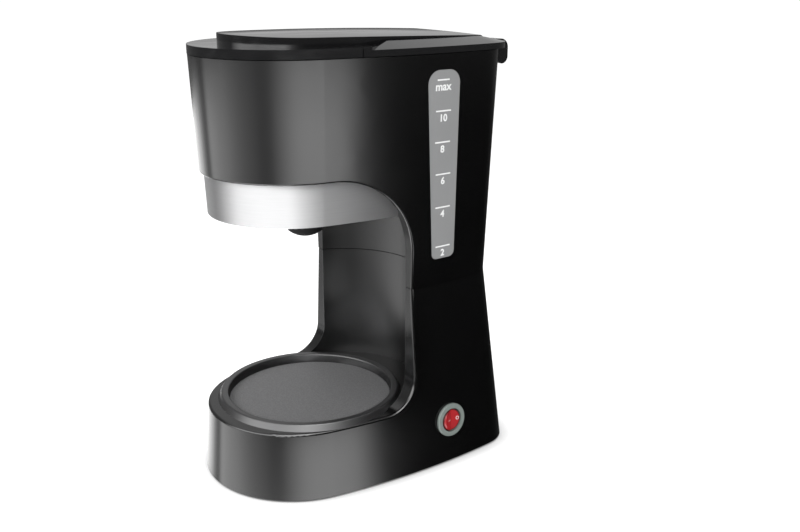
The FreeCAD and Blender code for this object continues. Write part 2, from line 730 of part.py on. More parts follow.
def hose_clamps():
    """Spring clips on the hose ends, two at the heater and one at the valve."""
    clips = []
    for x in (RISER_X, INLET_X):
        front = HEATER_LEG + 10
        clip = y_cyl(HOSE_R + CLIP_THICK, front, front + CLIP_WIDTH)
        ears = box(-3, 3, front, front + CLIP_WIDTH, -HOSE_R - 4, -HOSE_R)
        clip = clip.fuse(ears).cut(y_cyl(HOSE_R + 0.02, 0, 90))
        clip.translate(Vector(x, 0, STUB_Z))
        clips.append(clip)
    low = HOSE_TOP_Z - 9
    clip = inlet_cyl(HOSE_R + CLIP_THICK, low, low + CLIP_WIDTH)
    ears = box(INLET_X - 3, INLET_X + 3, INLET_Y - HOSE_R - 4, INLET_Y - HOSE_R, low, low + CLIP_WIDTH)
    clips.append(clip.fuse(ears).cut(inlet_cyl(HOSE_R + 0.02, 0, BIG)))
    return Part.makeCompound(clips)


def riser_spout():
    """Upright outlet plugged into the top of the riser hose."""
    plug = riser_cyl(BARB_R, RISER_TOP_Z - 10, RISER_TOP_Z)
    spout = riser_cyl(SPOUT_TUBE_R, RISER_TOP_Z, SPOUT_TUBE_Z)
    return fuse(plug, spout).cut(riser_cyl(BARB_BORE, 0, BIG))


def spray_head():
    """Water way under the lid: a cup over the riser's spout, a hollow arm and a rose with drip holes."""
    knee_at = Vector(RISER_X, RISER_Y, ARM_Z)
    run = Vector(-RISER_X, -RISER_Y, 0)
    cup = riser_cyl(CUP_R, SPOUT_TUBE_Z - 3.5, ARM_Z)
    knee = Part.makeSphere(CUP_R, knee_at).common(riser_cyl(CUP_R, ARM_Z - 1, ARM_Z + ARM_R))
    arm = Part.makeCylinder(ARM_R, run.Length, knee_at, run)
    way = Part.makeCylinder(ARM_BORE, run.Length, knee_at, run)
    rose = cone(ROSE_R, ROSE_R - 3, ROSE_Z, ARM_Z - 2)
    boss = cyl(ARM_R + 1, ARM_Z - 2, LID_TOP_Z).common(roof(LID_ROOF + 0.02))
    floor_z = ROSE_Z + 1.5
    hollow = cyl(ROSE_R - 4.5, floor_z, ARM_Z - 4)
    drop = cyl(ARM_BORE, floor_z, ARM_Z)
    holes = [cyl(1.0, 0, floor_z + 0.5, x, y) for x, y in around(11, ROSE_HOLES)]
    return cut(fuse(cup, knee, arm, rose, boss), way, hollow, drop, riser_cyl(CUP_R - 1.4, 0, ARM_Z), *holes)


def filter_basket():
    """Conical basket with inner ribs, a flange that hangs on the deck and a spout below."""
    floor_top = BASKET_FLOOR_Z + BASKET_FLOOR
    flange = cyl(BASKET_TOP_R + 3.5, DECK_Z + DECK_THICK, BASKET_TOP_Z + 0.5)
    wall = cone(BASKET_FLOOR_R, BASKET_TOP_R, BASKET_FLOOR_Z, DECK_Z + DECK_THICK)
    spout = cyl(SPOUT_R, SPOUT_Z, BASKET_FLOOR_Z)
    inside = cone(BASKET_FLOOR_R - 1.6, BASKET_TOP_R - 1.2, floor_top, BASKET_TOP_Z + 1)
    body = cut(fuse(flange, wall, spout), inside)
    rib_zone = cone(BASKET_FLOOR_R - 1, BASKET_TOP_R - 1, BASKET_FLOOR_Z + 1, BASKET_TOP_Z)
    rib_core = cone(BASKET_FLOOR_R - 3.2, BASKET_TOP_R - 2.8, floor_top, BASKET_TOP_Z + 1)
    ribs = []
    for i in range(BASKET_RIBS):
        rib = box(-0.7, 0.7, -BIG, 4 - BASKET_FLOOR_R, BASKET_FLOOR_Z + 1, BASKET_TOP_Z - 12)
        rib.rotate(Vector(0, 0, 0), Vector(0, 0, 1), 360 / BASKET_RIBS * i)
        ribs.append(rib.common(rib_zone).cut(rib_core))
    outlet = cyl(5.0, 0, floor_top + 3)
    return cut(fuse(body, *ribs), cyl(SPOUT_R - 1.6, SPOUT_Z - 1, BASKET_FLOOR_Z), outlet)


def drip_valve():
    """Sprung drip stop: domed cup, stem and a head that carries the seal above the outlet."""
    ball_z = DOME_TIP_Z + DOME_BALL
    cup = Part.makeSphere(DOME_BALL, Vector(0, 0, ball_z)).common(cyl(DOME_R, 0, ball_z))
    cup = cup.cut(cyl(DOME_R - 1.6, CUP_FLOOR_Z, BIG))
    drains = [cyl(1.6, 0, CUP_FLOOR_Z + 5, x, y) for x, y in around(7, 3, 60)]
    stem = cyl(STEM_R, CUP_FLOOR_Z - 1, SEAT_TOP_Z + 4)
    head = cyl(7.0, SEAT_TOP_Z + 2, SEAT_TOP_Z + 4)
    return fuse(cut(cup, *drains), stem, head)


def valve_seal():
    return cyl(7.6, SEAT_TOP_Z + 0.02, SEAT_TOP_Z + 2).cut(cyl(STEM_R, 0, BIG))


def valve_spring():
    sleeve = cyl(SPRING_R, CUP_FLOOR_Z + 0.1, BASKET_FLOOR_Z - 0.1)
    return sleeve.cut(cyl(SPRING_R - SPRING_WIRE, 0, BIG))


def roof(drop):
    """Everything below the lid's doubly curved crown, lowered by drop."""
    centre = Vector(0, CROWN_PEAK_Y, LID_TOP_Z - drop - CROWN_LONG_R)
    return Part.makeTorus(CROWN_LONG_R - CROWN_CROSS_R, CROWN_CROSS_R, centre, Vector(1, 0, 0))


def rear_bend(drop):
    """Everything ahead of the lid's rear bend or under it, the bend lowered by drop."""
    turn = math.asin((BEND_Y - CROWN_PEAK_Y) / CROWN_LONG_R)
    reach = CROWN_LONG_R - BEND_R
    y = CROWN_PEAK_Y + reach * math.sin(turn)
    z = LID_TOP_Z + BEND_RISE - CROWN_LONG_R + reach * math.cos(turn)
    bend = Part.makeCylinder(BEND_R - drop, 2 * BIG, Vector(-BIG, y, z), Vector(1, 0, 0))
    return box(-BIG, BIG, -BIG, BEND_Y, 0, BIG).fuse(bend)


def grip_zone():
    """Front part of the lid, ahead of the two slanting hip lines, as an upright block."""
    half = [(BIG, HIP_OUT[1] - 30), HIP_OUT, HIP_IN]
    pts = half + [(-x, y) for x, y in reversed(half)] + [(-BIG, -BIG), (BIG, -BIG)]
    wire = Part.makePolygon([Vector(x, y, LID_BOTTOM_Z - 1) for x, y in pts + pts[:1]])
    return Part.Face(wire).extrude(Vector(0, 0, 40))


def hinge_ear():
    """Rounded tab that runs from the lid's back edge down round the hinge pin, on the right."""
    s = math.sqrt(0.5)
    front = BACK_TOP - 8
    back = HINGE_Y + EAR_R
    neck = HINGE_Y - EAR_R
    bend = EAR_R + 1
    crest = EAR_TOP_Z - bend

    def at(y, z):
        return Vector(EAR_IN, y, z)

    shoulder = at(back - bend * (1 - s), crest + bend * s)
    edges = [
        Part.LineSegment(at(front, LID_BOTTOM_Z), at(front, EAR_TOP_Z)).toShape(),
        Part.LineSegment(at(front, EAR_TOP_Z), at(back - bend, EAR_TOP_Z)).toShape(),
        Part.Arc(at(back - bend, EAR_TOP_Z), shoulder, at(back, crest)).toShape(),
        Part.LineSegment(at(back, crest), at(back, HINGE_Z)).toShape(),
        Part.Arc(at(back, HINGE_Z), at(HINGE_Y, HINGE_Z - EAR_R), at(neck, HINGE_Z)).toShape(),
        Part.LineSegment(at(neck, HINGE_Z), at(neck, LID_BOTTOM_Z)).toShape(),
        Part.LineSegment(at(neck, LID_BOTTOM_Z), at(front, LID_BOTTOM_Z)).toShape(),
    ]
    ear = Part.Face(Part.Wire(edges)).extrude(Vector(EAR_OUT - EAR_IN, 0, 0))
    return ear.cut(hinge_cyl(PIN_R, PIN_END))


def lid():
    """Hinged cover: upright skirt, sloping sides, crowned top, sunk grip at the front, two ears."""
    zone = grip_zone()
    skirt = prism(LID_INSET, LID_BACK, LID_BOTTOM_Z, SKIRT_Z)
    grip = prism(LID_INSET, LID_BACK, LID_BOTTOM_Z, GRIP_Z).common(zone)
    high = plan(SLOPE_TOP_Z, CROWN_INSET + 1.5, CROWN_BACK - 1.5)
    high.rotate(Vector(0, SLOPE_FRONT_Y, SLOPE_TOP_Z), Vector(1, 0, 0), -SLOPE_TILT)
    slope = Part.makeLoft([plan(SKIRT_Z, LID_INSET, LID_BACK), high], True, True).cut(zone)
    slope = slope.common(rear_bend(STEP_DROP))
    crown = prism(CROWN_INSET, CROWN_BACK, LID_BOTTOM_Z, LID_TOP_Z + 5).common(roof(0)).common(rear_bend(0))
    body = fuse(skirt, grip, slope, crown)
    under = prism(LID_INSET + LID_WALL, LID_BACK - LID_WALL, LID_BOTTOM_Z - 1, SKIRT_Z - LID_WALL)
    dome = prism(CROWN_INSET + 2.5, CROWN_BACK - 2.5, LID_BOTTOM_Z, LID_TOP_Z).common(roof(LID_ROOF))
    body = cut(body, under, dome.common(rear_bend(LID_ROOF)))
    front_x = FRONT_RADIUS - LID_INSET
    notch = box(front_x - 1.7, front_x + 4, -9, 9, LID_BOTTOM_Z - 1, LID_BOTTOM_Z + 3.2)
    notch.rotate(Vector(0, 0, 0), Vector(0, 0, 1), NOTCH_TURN)
    notch.translate(Vector(0, FRONT_CENTRE_Y, 0))
    groove = box(HALF_WIDTH - LID_INSET - 4, HALF_WIDTH, 5.7, 6.3, LID_BOTTOM_Z - 1, GRIP_Z - 0.5)
    ear = hinge_ear()
    body = fuse(body, ear, mirrored(ear))
    return cut(body, notch, mirrored(notch), groove, mirrored(groove))


def hinge_pin():
    return hinge_cyl(PIN_R, PIN_END)


def pivot_pin(r, half):
    """Upright pivot of the rocker in the switch's own frame."""
    return Part.makeCylinder(r, 2 * half, Vector(PIVOT_X, 0, -half), Vector(0, 0, 1))


def switch_body():
    """Round bezel and barrel with the rocker's well."""
    face_x = 2.0
    flange = x_cyl(BEZEL_R, 0.15, face_x)
    flange = soften(flange, [e for e in flange.Edges if e.BoundBox.XMin > face_x - 0.01], 0.7)
    body = fuse(flange, x_cyl(SWITCH_BARREL_R, -SWITCH_DEPTH, 0.15))
    return on_side(cut(body, x_cyl(SWITCH_WELL_R, -7, 5), pivot_pin(PIVOT_R + 0.06, PIVOT_HALF + 0.3)))


def switch_rocker():
    """Rocker that turns about an upright pivot: a ball zone with a shallow valley across it."""
    ball = Part.makeSphere(ROCKER_R, Vector(PIVOT_X, 0, 0))
    body = ball.common(box(-5.2, 2.6, -10, 10, -10, 10))
    valley = [Vector(6, -21, -10), Vector(0.8, 0, -10), Vector(6, 21, -10)]
    body = body.cut(Part.Face(Part.makePolygon(valley + valley[:1])).extrude(Vector(0, 0, 20)))
    body = fuse(body, pivot_pin(PIVOT_R, PIVOT_HALF))
    body.rotate(Vector(PIVOT_X, 0, 0), Vector(0, 0, 1), ROCKER_THROW)
    return on_side(body)


def switch_terminals():
    tabs = [box(-SWITCH_DEPTH - 7, -SWITCH_DEPTH, y - 0.4, y + 0.4, -3.1, 3.1) for y in (-5, 0, 5)]
    return Part.makeCompound([on_side(tab) for tab in tabs])


def cord_gland():
    """Rubber grommet in the back wall with the cord's bore."""
    body = fuse(y_cyl(9.0, 0.1, 1.5), y_cyl(GLAND_NECK_R, -3.0, 0.1), y_cyl(8.0, -4.6, -2.7))
    return on_back(body.cut(y_cyl(CORD_R, -10, 10)))


os.makedirs("parts", exist_ok=True)
for piece in (
    lower_housing, upper_housing, level_window, base_plate, feet, base_screws, silver_band, filter_housing,
    inner_deck, water_tank, hotplate_ring, hotplate_seal, hotplate, heater, water_stubs, heater_pins,
    clamp_strap, strap_nut, thermostat, thermal_fuse, leads, valve_body, valve_ball, inlet_hose, riser_hose,
    hose_clamps, riser_spout, spray_head, filter_basket, drip_valve, valve_seal, valve_spring, lid, hinge_pin,
    switch_body, switch_rocker, switch_terminals, cord_gland,
):
    save(piece.__name__, piece())
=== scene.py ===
import json
import math

import bpy
import numpy as np
from mathutils import Matrix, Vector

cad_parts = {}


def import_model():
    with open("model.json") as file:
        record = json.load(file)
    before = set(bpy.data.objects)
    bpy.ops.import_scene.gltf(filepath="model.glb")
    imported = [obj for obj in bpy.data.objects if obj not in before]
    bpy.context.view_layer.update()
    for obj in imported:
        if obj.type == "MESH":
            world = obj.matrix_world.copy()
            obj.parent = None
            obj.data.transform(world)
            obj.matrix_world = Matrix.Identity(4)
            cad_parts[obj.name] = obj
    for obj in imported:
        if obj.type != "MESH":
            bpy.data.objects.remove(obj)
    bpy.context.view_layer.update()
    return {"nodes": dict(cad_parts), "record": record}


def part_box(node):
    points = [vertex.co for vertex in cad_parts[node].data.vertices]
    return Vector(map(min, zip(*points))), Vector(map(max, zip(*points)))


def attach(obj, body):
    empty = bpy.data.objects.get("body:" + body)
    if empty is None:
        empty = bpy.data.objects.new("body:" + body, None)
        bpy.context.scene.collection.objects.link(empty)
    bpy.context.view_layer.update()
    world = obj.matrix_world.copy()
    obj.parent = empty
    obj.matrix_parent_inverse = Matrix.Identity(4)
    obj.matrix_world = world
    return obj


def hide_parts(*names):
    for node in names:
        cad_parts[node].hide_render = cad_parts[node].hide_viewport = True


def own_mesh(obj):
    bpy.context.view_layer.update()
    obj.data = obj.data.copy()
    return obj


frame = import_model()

# Drip coffee maker: finishes, printed marks, the drip stop's spring, light and camera.
# Metres, in the part's own frame: +Z up, front towards -Y, window and switch on +X.

NODES = frame["nodes"]

# Upright axis of the brew head, which the hotplate and the drip stop share
BREW_Y = -0.02905

# Right wall of the upper housing, as the solid has it
SIDE_RADIUS = 0.450
SIDE_CENTRE_Y = 0.01995
HALF_WIDTH = 0.0687
WAIST_Z = 0.1275
WAIST_INSET = 0.0094
TOP_Z = 0.275
TOP_INSET = 0.004

# Hollow back wall of the carafe bay
SCOOP_RADIUS = 0.055
SCOOP_Y = -0.00305
DECK_Z = 0.0455
CEILING_Z = 0.1775
HOLLOW_EDGE = 0.0004

# Round switch: its middle, the painted shade at the rim of its rocker, where it sits deep in its bezel, and
# the valley between the rocker's two flats
SWITCH_Y = 0.04195
SWITCH_Z = 0.0307
ROCKER_SHADE_RIM = 0.0070
SHADE_RIM_WIDTH = 0.0006
ROCKER_THROW = math.radians(8.0)
VALLEY_DEPTH = 0.0018
VALLEY_SLOPE = 5.2 / 21

# Prints
MARK_THICK = 0.00012
MARK_BOLD = 0.00016
MARK_DROP = 0.0064
NUMBER_SIZE = 0.0062
WORD_SIZE = 0.0072
LETTER_STEPS = 6
BAR_HALF = 0.0059
WORD_BAR_HALF = 0.0047
BAR_HALF_HIGH = 0.00045
BAR_STEPS = 9
# Cup marks on the window: what each says, its bar's height and its place behind the brewing axis
MARKS = [("max", 0.2594, 0.0632), ("10", 0.2404, 0.0639), ("8", 0.2209, 0.0641), ("6", 0.2005, 0.0653),
         ("4", 0.1789, 0.0660), ("2", 0.1527, 0.0672)]
# Signs on the rocker's flats: letter, place along the valley's slope and turn of the letter
ROCKER_SIGNS = [("O", 0.0049, 0.0), ("I", -0.0024, math.pi / 2)]
SIGN_SIZE = 0.0034

# Coil of the drip stop: each end lies almost flat for a share of the wire, where it creeps up only a little
SPRING_TURNS = 6
SPRING_MEAN = 0.0047
SPRING_WIRE = 0.0005
SPRING_FLAT = 0.12
SPRING_CREEP = 0.06
SPRING_STEPS = 24
WIRE_SIDES = 10

# Camera, read from the photograph's perspective
IMAGE_WIDTH = 800
FOCAL_PIXELS = 959.0
SENSOR_WIDTH = 36.0
CAMERA_SPOT = (0.532, -0.32605, 0.3246)
CAMERA_AZIMUTH = math.radians(55.0)
CAMERA_PITCH = math.radians(17.3)

# Floor, surround and lamps
FLOOR_REACH = 40.0
FLOOR_GLOW = 0.75
FLOOR_SHADE = (0.80, 0.80, 0.80)
# Painted contact shadow on the floor: its darkest colour and how far it reaches
CONTACT_SHADE = (0.10, 0.10, 0.10)
CONTACT_REACH = 0.016
WORLD_LIGHT = 0.38
LAMP_AIM = (0.0, 0.0, 0.14)

# Far reflector, in pairs of azimuth, from the front towards the right, and brightness.
# What upright plastic mirrors
LOW_GLOW = [(-180, 0.04), (-148, 0.04), (-138, 1.2), (-120, 1.2), (-110, 2.2), (-75, 2.2), (-60, 0.5),
            (-54, 0.5), (-50, 2.9), (-20, 2.7), (-9, 2.1), (5, 1.45), (19, 1.0), (27, 0.65), (38, 0.7),
            (46, 1.6), (57, 2.9), (67, 4.0), (78, 4.5), (108, 4.5), (111.5, 0.015), (180, 0.015)]
# What the brushed band gathers from above and below that
HIGH_GLOW = [(-180, 0.6), (-110, 0.6), (-95, 0.3), (-40, 0.3), (-20, 5.0), (58, 5.0), (70, 1.1), (80, 0.3),
             (90, 0.08), (100, 0.02), (165, 0.02), (180, 0.6)]
# What faces that lean back mirror
TOP_GLOW = [(-180, 1.5), (0, 1.0), (24, 2.5), (50, 8.0), (71, 9.0), (95, 6.0), (115, 2.0), (133, 0.3),
            (180, 0.8)]
# What the lid's upright edge mirrors
EDGE_GLOW = [(-180, 0.13), (180, 0.13)]
DRUM_RADIUS = 30.0
DRUM_STEP = 1.5
# Elevation of each ring of the reflector, the profile that it takes and how much of it
DRUM_RINGS = [(-89, HIGH_GLOW, 1), (-30, HIGH_GLOW, 1), (-26, LOW_GLOW, 1), (-19.3, LOW_GLOW, 1),
              (-18.3, LOW_GLOW, 0.55), (-16.4, LOW_GLOW, 0.55), (-15, LOW_GLOW, 1), (-8.4, LOW_GLOW, 1),
              (-7.2, EDGE_GLOW, 1), (2.5, EDGE_GLOW, 1), (5, HIGH_GLOW, 1), (35, HIGH_GLOW, 1),
              (45, TOP_GLOW, 1), (89, TOP_GLOW, 1)]

# Dark card beyond the open side of the bay, between two azimuths
CARD_FROM = 35.0
CARD_TO = 118.0
CARD_STEPS = 25
CARD_RADIUS = 0.20
CARD_LOW = 0.005
CARD_HIGH = 0.098


class Value:
    """A socket in a node tree. Arithmetic on it adds Math nodes."""

    def __init__(self, paint, socket):
        self.paint = paint
        self.socket = socket

    def math(self, operation, first, second):
        return self.paint.add("ShaderNodeMath", {"operation": operation}, {0: first, 1: second})

    def __add__(self, other):
        return self.math("ADD", self, other)

    def __rsub__(self, other):
        return self.math("SUBTRACT", other, self)

    def __mul__(self, other):
        return self.math("MULTIPLY", self, other)

    __radd__ = __add__
    __rmul__ = __mul__

    def lesser(self, other):
        return self.math("MINIMUM", self, other)

    def greater(self, other):
        return self.math("MAXIMUM", self, other)

    def above(self, edge, width):
        """Soft step from 0 to 1 as the value passes edge."""
        return self.paint.add("ShaderNodeMapRange", {"interpolation_type": "SMOOTHSTEP"},
                              {0: self, 1: edge - width, 2: edge + width, 3: 0.0, 4: 1.0})


class Paint:
    """A procedural material, or the world, and the nodes in it."""

    def __init__(self, name, holder=None):
        self.holder = holder or bpy.data.materials.new(name)
        self.holder.use_nodes = True
        self.tree = self.holder.node_tree
        self.tree.nodes.clear()

    def add(self, kind, settings=None, inputs=None, out=0):
        """A node of any kind, with its settings first and then its socket values or links."""
        node = self.tree.nodes.new(kind)
        for key, value in (settings or {}).items():
            setattr(node, key, value)
        for key, value in (inputs or {}).items():
            if isinstance(value, Value):
                self.tree.links.new(value.socket, node.inputs[key])
            else:
                node.inputs[key].default_value = value
        return Value(self, node.outputs[out])

    def place(self, scale=(1.0, 1.0, 1.0)):
        """Object coordinates, stretched by scale."""
        coords = self.add("ShaderNodeTexCoord", out="Object")
        return self.add("ShaderNodeMapping", {}, {"Vector": coords, "Scale": scale})

    def height(self):
        """Height above the surface that the feet stand on."""
        return self.add("ShaderNodeSeparateXYZ", {}, {0: self.place()}, out="Z")

    def reach(self, middle, across):
        """Distance from a line through middle; across is 0 on the line's own axis and 1 on the others."""
        offset = tuple(-m * a for m, a in zip(middle, across))
        away = self.add("ShaderNodeVectorMath", {"operation": "MULTIPLY_ADD"},
                        {0: self.place(), 1: across, 2: offset})
        return self.add("ShaderNodeVectorMath", {"operation": "LENGTH"}, {0: away}, out="Value")

    def noise(self, size, detail=2.0, stretch=(1.0, 1.0, 1.0)):
        """Noise whose lumps are about size metres across."""
        spot = self.place(tuple(s / size for s in stretch))
        return self.add("ShaderNodeTexNoise", {}, {"Vector": spot, "Scale": 1.0, "Detail": detail})

    def cells(self, size):
        """Distance to the nearest of points about size metres apart, in cell widths."""
        spot = self.place((1.0 / size,) * 3)
        return self.add("ShaderNodeTexVoronoi", {}, {"Vector": spot, "Scale": 1.0})

    def blend(self, factor, first, second):
        """Colour that goes from first to second with factor."""
        return self.add("ShaderNodeMix", {"data_type": "RGBA"},
                        {0: factor, 6: (*first, 1), 7: (*second, 1)}, out=2)

    def bump(self, height, depth):
        """Normal of a relief of that depth in metres."""
        return self.add("ShaderNodeBump", {}, {"Height": height, "Strength": 1.0, "Distance": depth})

    def finish(self, surface, to="ShaderNodeOutputMaterial"):
        """The material, or the world, with that surface at its output."""
        node = self.tree.nodes.new(to)
        self.tree.links.new(surface.socket, node.inputs["Surface"])
        return self.holder

    def coat(self, **sockets):
        """Principled surface with the given sockets, named with _ for a space."""
        named = {key.replace("_", " "): value for key, value in sockets.items()}
        return self.finish(self.add("ShaderNodeBsdfPrincipled", {}, named))


def body_black():
    """Satin moulded plastic: fine spark-eroded grain and faint flow clouds, rougher in the bay's hollow."""
    p = Paint("body_black")
    grain = p.noise(0.00045, 3.0)
    cloud = p.noise(0.03, 3.0)
    colour = p.blend(cloud, (0.0016, 0.0016, 0.0017), (0.0024, 0.0024, 0.0025))
    height = p.height()
    reach = p.reach((0.0, SCOOP_Y, 0.0), (1.0, 1.0, 0.0))
    inside = 1.0 - reach.above(SCOOP_RADIUS + HOLLOW_EDGE, HOLLOW_EDGE / 2)
    over_deck = height.above(DECK_Z, HOLLOW_EDGE)
    under_ceiling = 1.0 - height.above(CEILING_Z, HOLLOW_EDGE)
    hollow = inside * over_deck * under_ceiling
    return p.coat(Base_Color=colour, Roughness=0.17 + 0.03 * cloud + 0.03 * grain + 0.12 * hollow,
                  Normal=p.bump(grain, 0.000002), Specular_IOR_Level=0.6)


def gloss_black():
    """Polished plastic lid with faint wipe marks."""
    p = Paint("gloss_black")
    wipe = p.noise(0.012, 4.0, (1.0, 0.25, 1.0))
    colour = p.blend(wipe, (0.006, 0.006, 0.0065), (0.009, 0.009, 0.0095))
    return p.coat(Base_Color=colour, Roughness=0.07 + 0.09 * wipe.above(0.55, 0.2), Specular_IOR_Level=0.6,
                  Normal=p.bump(p.noise(0.006, 1.0), 0.000004))


def inner_black():
    """Matt inner moulding with coarser grain."""
    p = Paint("inner_black")
    grain = p.noise(0.0008, 3.0)
    colour = p.blend(grain, (0.009, 0.009, 0.0094), (0.015, 0.015, 0.0155))
    return p.coat(Base_Color=colour, Roughness=0.48 + 0.14 * grain, Normal=p.bump(grain, 0.00003),
                  Specular_IOR_Level=0.15)


def ring_black():
    """Heat-proof ring round the hotplate: satin, with fine grain and faint clouds."""
    p = Paint("ring_black")
    grain = p.noise(0.0005, 2.0)
    cloud = p.noise(0.02, 2.0)
    colour = p.blend(cloud, (0.012, 0.012, 0.0125), (0.018, 0.018, 0.0185))
    return p.coat(Base_Color=colour, Roughness=0.28 + 0.08 * grain, Normal=p.bump(grain, 0.00001),
                  Specular_IOR_Level=0.8)


def silver():
    """Satin silver trim, brushed along the band."""
    p = Paint("silver")
    hair = p.noise(0.0006, 3.0, (0.03, 0.03, 1.0))
    cloud = p.noise(0.02, 2.0)
    colour = p.blend(hair, (0.40, 0.40, 0.404), (0.47, 0.47, 0.474))
    return p.coat(Base_Color=colour, Metallic=1.0, Roughness=0.53 + 0.06 * hair + 0.04 * cloud,
                  Anisotropic=0.9, Anisotropic_Rotation=0.25, Normal=p.bump(hair, 0.000004))


def window_grey():
    """Smoky grey water window, smooth outside and faintly frosted."""
    p = Paint("window_grey")
    frost = p.noise(0.0006, 2.0)
    cloud = p.noise(0.03, 2.0)
    colour = p.blend(cloud, (0.285, 0.288, 0.29), (0.315, 0.318, 0.32))
    return p.coat(Base_Color=colour, Roughness=0.30 + 0.08 * frost, Specular_IOR_Level=0.4,
                  Normal=p.bump(frost, 0.000006))


def tank_clear():
    """Frosted clear tank."""
    p = Paint("tank_clear")
    frost = p.noise(0.002, 3.0)
    colour = p.blend(frost, (0.55, 0.57, 0.58), (0.66, 0.68, 0.69))
    return p.coat(Base_Color=colour, Roughness=0.22 + 0.2 * frost, Alpha=0.42 + 0.16 * frost, IOR=1.49)


def hotplate_grey():
    """Baked non-stick coating: grey with fine dark and pale specks."""
    p = Paint("hotplate_grey")
    speck = p.cells(0.0009)
    grain = p.noise(0.0004, 2.0)
    colour = p.blend(speck.above(0.45, 0.3), (0.112, 0.112, 0.114), (0.148, 0.148, 0.15))
    return p.coat(Base_Color=colour, Roughness=0.48 + 0.12 * grain, Normal=p.bump(grain, 0.00002),
                  Specular_IOR_Level=0.25)


def rubber_black():
    """Matt rubber with a dusty bloom."""
    p = Paint("rubber_black")
    bloom = p.noise(0.003, 4.0)
    colour = p.blend(bloom, (0.014, 0.014, 0.014), (0.026, 0.026, 0.026))
    return p.coat(Base_Color=colour, Roughness=0.7 + 0.15 * bloom, Normal=p.bump(bloom, 0.00004))


def hose_white():
    """Milky silicone hose."""
    p = Paint("hose_white")
    milk = p.noise(0.006, 3.0)
    colour = p.blend(milk, (0.66, 0.65, 0.61), (0.75, 0.74, 0.70))
    return p.coat(Base_Color=colour, Roughness=0.42 + 0.12 * milk, Subsurface_Weight=0.2)


def aluminium():
    """Cast aluminium with a sandy skin."""
    p = Paint("aluminium")
    sand = p.noise(0.0007, 4.0)
    colour = p.blend(sand, (0.52, 0.52, 0.53), (0.66, 0.66, 0.67))
    return p.coat(Base_Color=colour, Metallic=1.0, Roughness=0.42 + 0.18 * sand, Normal=p.bump(sand, 0.00005))


def steel():
    """Zinc-plated steel with drawn lines."""
    p = Paint("steel")
    line = p.noise(0.0005, 2.0, (1.0, 0.08, 1.0))
    colour = p.blend(line, (0.48, 0.48, 0.49), (0.60, 0.60, 0.60))
    return p.coat(Base_Color=colour, Metallic=1.0, Roughness=0.25 + 0.16 * line)


def brass():
    """Stamped brass terminals, slightly dulled."""
    p = Paint("brass")
    dull = p.noise(0.002, 3.0)
    colour = p.blend(dull, (0.66, 0.50, 0.24), (0.50, 0.37, 0.18))
    return p.coat(Base_Color=colour, Metallic=1.0, Roughness=0.28 + 0.2 * dull)


def lead_sleeve():
    """Woven glass sleeve on the inner wires: small raised cells with darker gaps."""
    p = Paint("lead_sleeve")
    braid = p.cells(0.0005)
    colour = p.blend(braid.above(0.5, 0.3), (0.70, 0.68, 0.62), (0.52, 0.50, 0.45))
    return p.coat(Base_Color=colour, Roughness=0.75 + 0.1 * braid, Normal=p.bump(1.0 - braid, 0.0001))


def bezel_grey():
    """Grey-green satin switch bezel."""
    p = Paint("bezel_grey")
    grain = p.noise(0.0004, 2.0)
    colour = p.blend(grain, (0.21, 0.245, 0.23), (0.25, 0.285, 0.265))
    return p.coat(Base_Color=colour, Roughness=0.32 + 0.1 * grain, Normal=p.bump(grain, 0.000008))


def rocker_red():
    """Smooth red plastic, a little cloudy, with painted shade at its rim for the shadowed gap round it in the
    bezel.
    """
    p = Paint("rocker_red")
    cloud = p.noise(0.005, 2.0)
    # Painted shade: the rocker's outer rim is darkened in its colour, standing in for the shadowed gap round
    # it in the bezel.
    rim_shade = p.reach((0.0, SWITCH_Y, SWITCH_Z), (0.0, 1.0, 1.0)).above(ROCKER_SHADE_RIM, SHADE_RIM_WIDTH)
    colour = p.blend((0.25 * cloud + rim_shade).lesser(1.0), (0.50, 0.010, 0.016), (0.05, 0.0, 0.001))
    return p.coat(Base_Color=colour, Roughness=0.28 + 0.08 * cloud, Specular_IOR_Level=0.5)


def print_white():
    """White pad print, a little uneven in cover."""
    p = Paint("print_white")
    cover = p.noise(0.0007, 2.0)
    colour = p.blend(cover, (0.93, 0.93, 0.93), (0.98, 0.98, 0.98))
    return p.coat(Base_Color=colour, Roughness=0.45 + 0.1 * cover)


FINISHES = {maker.__name__: maker() for maker in (
    body_black, gloss_black, inner_black, ring_black, silver, window_grey, tank_clear, hotplate_grey,
    rubber_black, hose_white, aluminium, steel, brass, lead_sleeve, bezel_grey, rocker_red, print_white)}


def dress_solids():
    """Give each CAD node the finish of its record slot."""
    for part in frame["record"]["subparts"]:
        solid = NODES[part["node"]]
        solid.data.materials.clear()
        solid.data.materials.append(FINISHES[part["material_slot"]])


def joint(name):
    """The record's entry for a joint."""
    return next(j for j in frame["record"]["behaviour"]["joints"] if j["name"] == name)


def mesh_object(name, corners, faces, surface):
    """A linked object with its place in its mesh."""
    mesh = bpy.data.meshes.new(name)
    mesh.from_pydata(np.asarray(corners).tolist(), [], [list(face) for face in faces])
    mesh.materials.append(surface)
    made = bpy.data.objects.new(name, mesh)
    bpy.context.scene.collection.objects.link(made)
    return made


def piece(name, corners, faces, finish, body, smooth=False):
    """A new mesh piece of the machine, riding on a body."""
    made = mesh_object(name, corners, faces, FINISHES[finish])
    made.data.validate()
    made.data.polygons.foreach_set("use_smooth", np.full(len(made.data.polygons), smooth))
    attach(made, body)
    return made


def stage_piece(name, corners, faces, surface):
    """A mesh of the studio, not of the machine."""
    made = mesh_object(name, corners, faces, surface)
    return made


def grid_faces(rows, columns, close=False):
    """Quads of a grid of points, numbered row by row; close joins the last column to the first."""
    r, c = np.meshgrid(np.arange(rows - 1), np.arange(columns if close else columns - 1), indexing="ij")
    a = r * columns + c
    b = r * columns + (c + 1) % columns
    return np.stack([a, b, b + columns, a + columns], axis=-1).reshape(-1, 4)


def tube_faces(rings, sides):
    """Quads along a closed tube, and a flat face over each end."""
    last = (rings - 1) * sides
    ends = [list(range(sides))[::-1], list(range(last, last + sides))]
    return grid_faces(rings, sides, close=True).tolist() + ends


